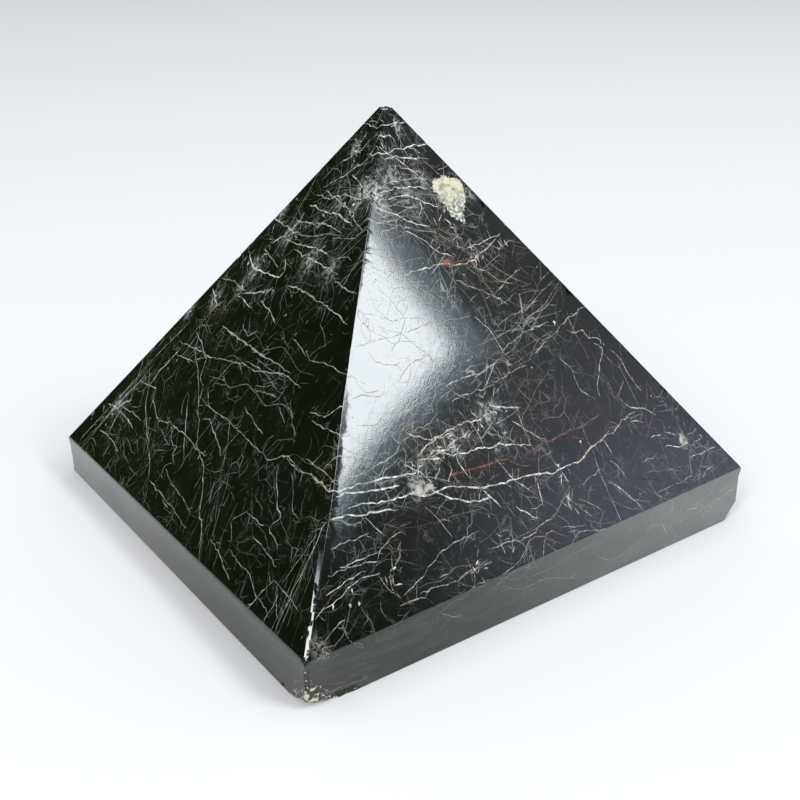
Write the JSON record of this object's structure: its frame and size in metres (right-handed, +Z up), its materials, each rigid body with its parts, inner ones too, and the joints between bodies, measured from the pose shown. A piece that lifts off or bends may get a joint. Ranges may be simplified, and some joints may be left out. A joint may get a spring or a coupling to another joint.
{
  "type": "black tourmaline pyramid",
  "caption": "Polished black stone pyramid on a low upright band, with crisp bevelled edges, broken lower corners and a blunt tip; it rests on its flat base.",
  "frame": {"origin": "middle of the flat base, on the surface that the stone rests on", "axes": "+Z up through the tip; the two faces that show in the picture look along -Y and -X, and their shared edge comes down to the -X -Y corner"},
  "size_m": [0.08, 0.08, 0.0636],
  "materials": {
    "tourmaline": "polished, near black with pale hairline veins"
  },
  "bodies": {
    "root": {"pyramid": "tourmaline"}
  },
  "joints": []
}
